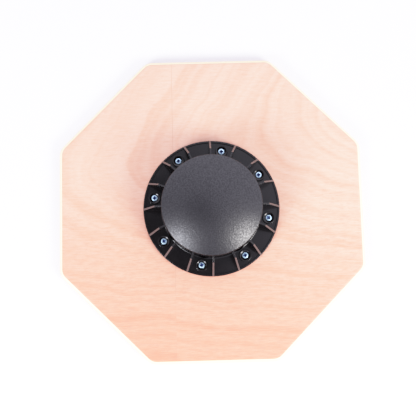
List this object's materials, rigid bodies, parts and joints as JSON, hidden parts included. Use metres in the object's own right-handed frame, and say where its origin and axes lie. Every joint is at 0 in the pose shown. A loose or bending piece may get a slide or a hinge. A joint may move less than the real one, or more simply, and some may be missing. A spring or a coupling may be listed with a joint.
{
  "type": "balance board",
  "caption": "Octagonal plywood balance board with rounded edges and a ribbed plastic rocker base whose shallow dome is screwed to its underside.",
  "frame": {"origin": "centre of the standing face, on the floor, with the board upside down and the dome up", "axes": "+Z is the dome's axis, away from the standing face; +X and +Y are normal to two flats of the octagon, and the face splice runs along Y on the -X side"},
  "size_m": [0.4, 0.4, 0.0799],
  "materials": {
    "face_veneer": "clear satin lacquer over pinkish figured hardwood veneer",
    "long_ply": "pale cream core ply, grain along X, lacquered edge",
    "cross_ply": "pale cream core ply, grain along Y, lacquered edge",
    "black_plastic": "glossy black moulding with a satin spark-eroded dome",
    "zinc": "bright bluish zinc plating"
  },
  "bodies": {
    "root": {"underside_veneer_left": "face_veneer", "underside_veneer_right": "face_veneer", "standing_face_veneer": "face_veneer", "core_ply_1": "cross_ply", "core_ply_2": "long_ply", "core_ply_3": "cross_ply", "core_ply_4": "long_ply", "core_ply_5": "cross_ply", "core_ply_6": "long_ply", "core_ply_7": "cross_ply", "core_ply_8": "long_ply", "core_ply_9": "cross_ply", "rocker_base": "black_plastic", "base_screw_1": "zinc", "base_screw_2": "zinc", "base_screw_3": "zinc", "base_screw_4": "zinc", "base_screw_5": "zinc", "base_screw_6": "zinc", "base_screw_7": "zinc", "base_screw_8": "zinc"}
  },
  "joints": []
}
